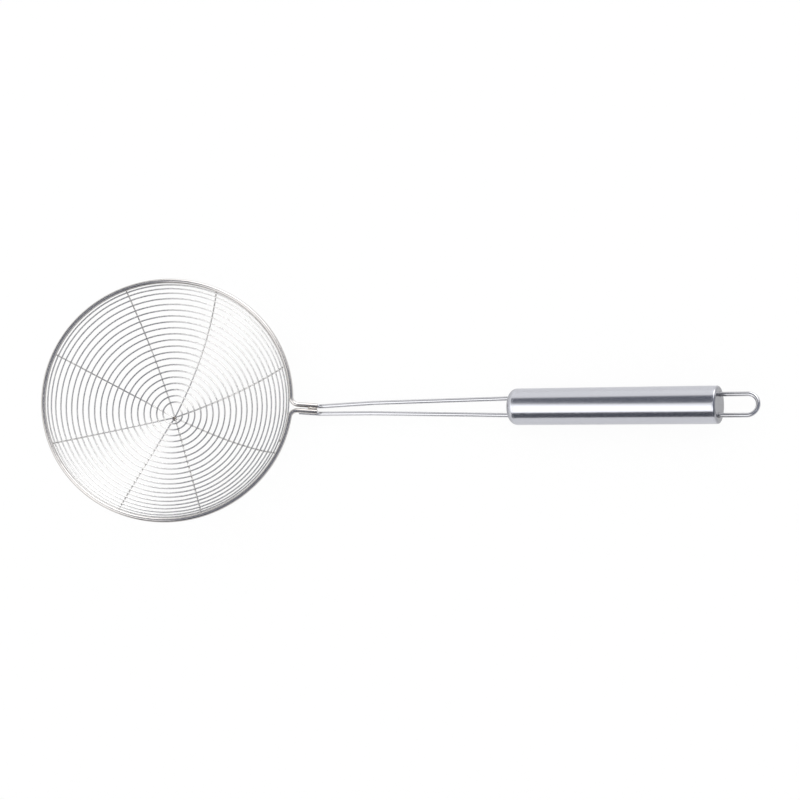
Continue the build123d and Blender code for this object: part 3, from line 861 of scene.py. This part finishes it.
def stagePlane(name, width, height, material):
    shape = bmesh.new()
    bmesh.ops.create_grid(shape, x_segments=1, y_segments=1, size=0.5)
    bmesh.ops.scale(shape, verts=shape.verts, vec=(width, height, 1))
    mesh = bpy.data.meshes.new(name)
    shape.to_mesh(mesh)
    shape.free()
    mesh.materials.append(material)
    plane = bpy.data.objects.new(name, mesh)
    bpy.context.collection.objects.link(plane)
    return plane


# The table glows white where it is seen or mirrored, with a share of matt white that keeps a shadow of
# the skimmer, small where it is seen. To all other rays it is matt
def makeTable():
    made, tree = newMaterial("paleTable")
    light = addNode(tree, "ShaderNodeLightPath").outputs
    mirrored = addNode(tree, "ShaderNodeMath",
                       {0: light["Is Glossy Ray"], 1: light["Is Transmission Ray"]},
                       operation="ADD", use_clamp=True)
    shown = addNode(tree, "ShaderNodeMath", {0: light["Is Camera Ray"], 1: mirrored},
                    operation="ADD", use_clamp=True)
    share = addNode(tree, "ShaderNodeMapRange",
                    {"Value": mirrored, "To Min": studio["seenMatt"], "To Max": studio["mirroredMatt"]})
    white = addNode(tree, "ShaderNodeEmission", {"Color": (1, 1, 1, 1), "Strength": studio["white"]})
    matt = addNode(tree, "ShaderNodeBsdfDiffuse", {"Color": (studio["matt"],) * 3 + (1,)})
    both = addNode(tree, "ShaderNodeMixShader", {0: share, 1: white, 2: matt})
    mixed = addNode(tree, "ShaderNodeMixShader", {0: shown, 1: matt, 2: both})
    addNode(tree, "ShaderNodeOutputMaterial", {"Surface": mixed})
    stagePlane("table", 2 * studio["table"], 2 * studio["table"], made)


# A card with soft edges that only mirrored rays meet
def makeCard(name, card):
    width, height = card["size"]
    made, tree = newMaterial(name)
    made.cycles.emission_sampling = "NONE"
    place = addNode(tree, "ShaderNodeTexCoord").outputs["Object"]
    inside = addNode(tree, "ShaderNodeVectorMath", {0: place}, operation="ABSOLUTE")
    parts = addNode(tree, "ShaderNodeSeparateXYZ", {0: inside}).outputs
    fades = [addNode(tree, "ShaderNodeMapRange",
                     {"Value": parts[i], "From Min": (side + card["soft"]) / 2,
                      "From Max": (side - card["soft"]) / 2}, interpolation_type="SMOOTHSTEP")
             for i, side in enumerate((width, height))]
    light = addNode(tree, "ShaderNodeLightPath").outputs
    mirrored = addNode(tree, "ShaderNodeMath",
                       {0: light["Is Glossy Ray"], 1: light["Is Transmission Ray"]},
                       operation="ADD", use_clamp=True)
    face = addNode(tree, "ShaderNodeMath", {0: fades[0], 1: fades[1]}, operation="MULTIPLY")
    met = addNode(tree, "ShaderNodeMath", {0: face, 1: mirrored}, operation="MULTIPLY")
    clear = addNode(tree, "ShaderNodeBsdfTransparent")
    tone = linear(studio["flagTone"] if card["flag"] else "#ffffff")
    evened = [part / tone[0] for part in tone[:3]] + [1.0]
    lit = addNode(tree, "ShaderNodeEmission", {"Color": evened, "Strength": card["level"]})
    mixed = addNode(tree, "ShaderNodeMixShader", {0: met, 1: clear, 2: lit})
    addNode(tree, "ShaderNodeOutputMaterial", {"Surface": mixed})
    plane = stagePlane(name, width + card["soft"], height + card["soft"], made)
    bearing, up = math.radians(card["bearing"]), math.radians(card["height"])
    towards = Vector((math.cos(up) * math.cos(bearing), math.cos(up) * math.sin(bearing), math.sin(up)))
    across = Vector((0, 0, 1)).cross(towards).normalized()
    facing = Matrix((across, towards.cross(across), towards)).transposed().to_4x4()
    roll = Matrix.Rotation(math.radians(card["roll"]), 4, "Z")
    plane.matrix_world = Matrix.Translation(towards * card["away"]) @ facing @ roll


# Camera: the photograph's place in mm, its turn in degrees, and its lens and sensor in mm
camera = {"place": (334.15, -216.58, 821.35), "turn": (15.405, 21.629, 3.758), "lens": 76.19,
          "sensor": 36.0, "near": 0.01, "far": 20.0}


def makeCamera():
    data = bpy.data.cameras.new("camera")
    data.lens, data.sensor_width = camera["lens"], camera["sensor"]
    data.clip_start, data.clip_end = camera["near"], camera["far"]
    seen = bpy.data.objects.new("camera", data)
    seen.location = [v * mm for v in camera["place"]]
    seen.rotation_euler = [math.radians(v) for v in camera["turn"]]
    bpy.context.collection.objects.link(seen)
    bpy.context.scene.camera = seen


makeWorld()
makeTable()
for cardName, cardSizes in studio["cards"].items():
    makeCard(cardName, cardSizes)
makeCamera()
bpy.context.scene.view_settings.view_transform = "Standard"
print("studio made")
